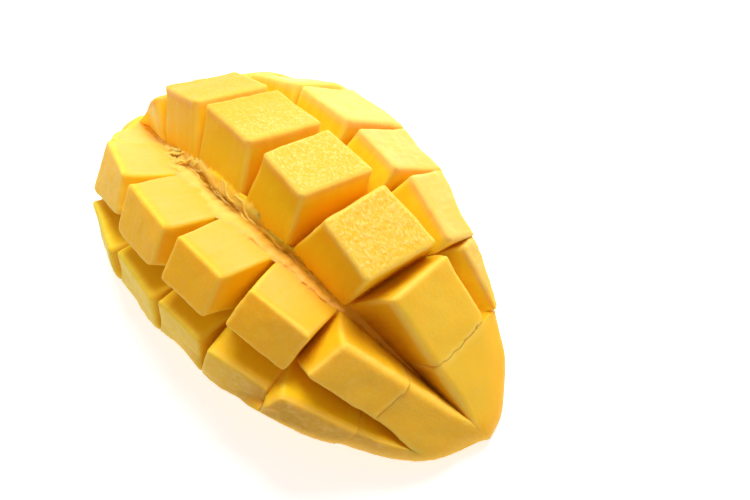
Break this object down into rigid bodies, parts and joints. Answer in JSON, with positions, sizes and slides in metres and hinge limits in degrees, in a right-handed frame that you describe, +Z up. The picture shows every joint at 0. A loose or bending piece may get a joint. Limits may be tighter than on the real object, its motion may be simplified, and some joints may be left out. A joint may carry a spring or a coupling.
{
  "type": "cubed mango half",
  "caption": "Half of a mango without its stone, scored into cubes and pushed inside out so that the cubes spread over a curved peel.",
  "frame": {"origin": "centre of the bounding box on the floor that the half rests on", "axes": "+X along the middle cut towards the blunt end, +Y across towards the side with the wider cubes, +Z up"},
  "size_m": [0.1314, 0.0786, 0.0439],
  "materials": {
    "mango_flesh": "moist yellow-orange fruit flesh over a thin peel"
  },
  "bodies": {
    "root": {"mango_half": "mango_flesh"}
  },
  "joints": []
}
